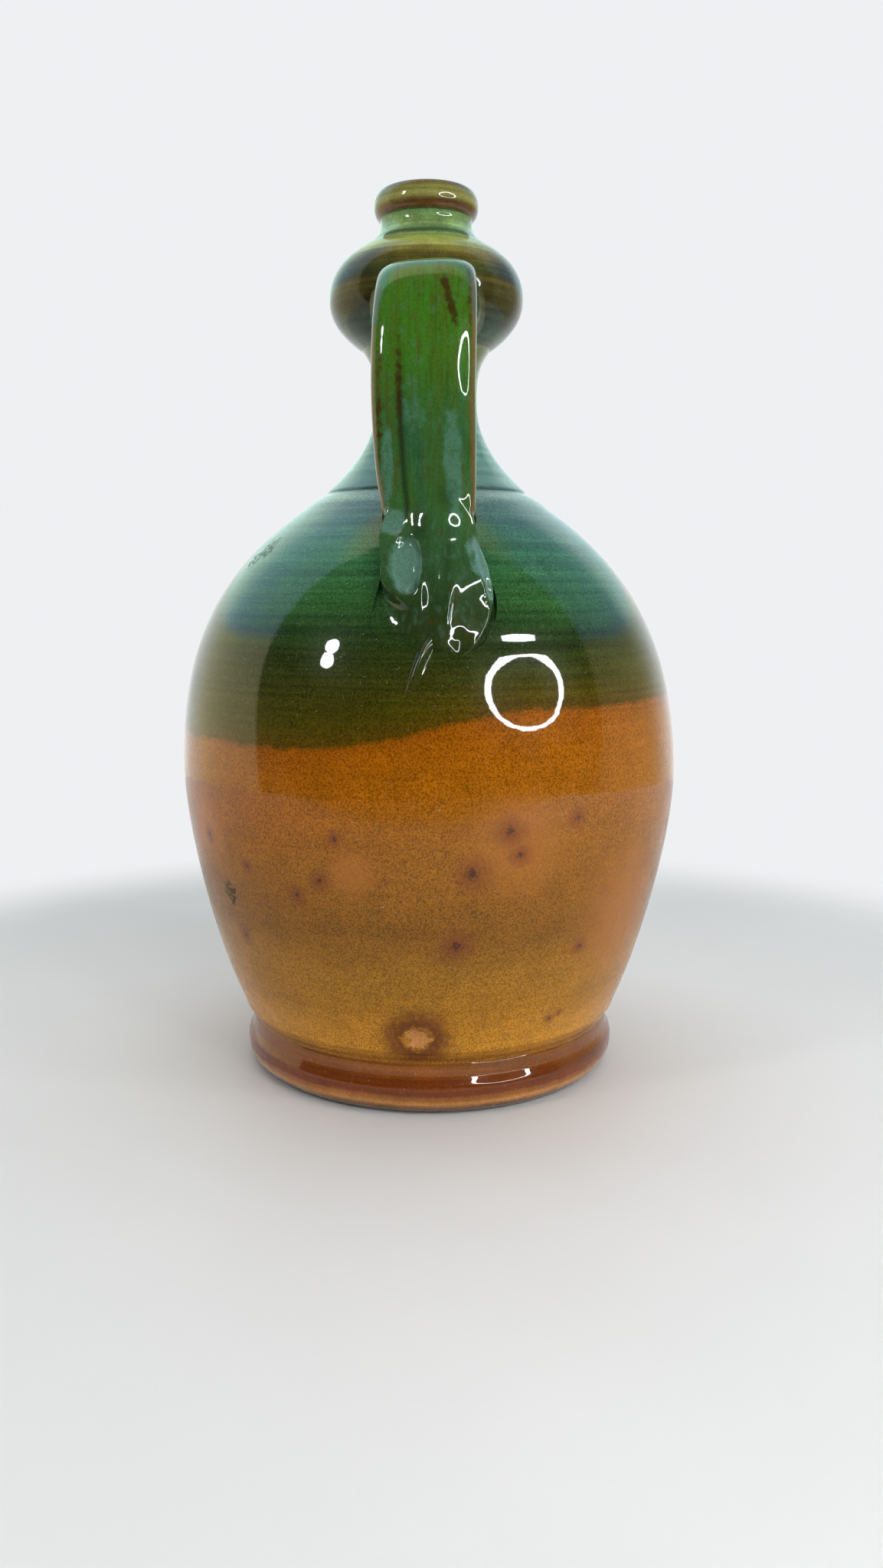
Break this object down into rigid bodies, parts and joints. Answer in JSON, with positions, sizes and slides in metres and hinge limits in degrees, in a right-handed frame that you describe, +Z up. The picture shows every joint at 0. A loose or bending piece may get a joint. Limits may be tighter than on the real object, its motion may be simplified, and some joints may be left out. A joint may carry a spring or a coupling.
{
  "type": "pottery jug",
  "caption": "Glazed hand-thrown pottery jug: ovoid body on a rounded foot, narrow neck with a hollow bulb, collar and rolled lip, and a pulled strap handle from bulb to shoulder.",
  "frame": {"origin": "centre of the flat underside, on the jug's axis", "axes": "+Z up the jug's axis to the mouth, -Y towards the handle, +X to the right when the handle faces the viewer"},
  "size_m": [0.1612, 0.1612, 0.28],
  "materials": {
    "bare_clay": "unglazed fired clay, matt",
    "foot_glaze": "thin iron-brown glaze, worn at the contact edge",
    "body_glaze": "amber to mustard glaze under a dark olive band, iron spots, glossy",
    "neck_glaze": "blue-green glaze, glossy",
    "bulb_glaze": "olive-brown glaze with teal runs, glossy",
    "lip_glaze": "pale green glaze that breaks brown on edges, glossy",
    "handle_glaze": "streaked green and olive glaze that breaks brown on edges, glossy"
  },
  "bodies": {
    "root": {"base_slab": "bare_clay", "foot_ring": "foot_glaze", "body_wall": "body_glaze", "neck_wall": "neck_glaze", "neck_bulb": "bulb_glaze", "collar": "lip_glaze", "lip_roll": "lip_glaze", "handle_root": "handle_glaze", "handle_strap": "handle_glaze", "handle_terminal": "handle_glaze", "handle_tail": "handle_glaze"}
  },
  "joints": []
}
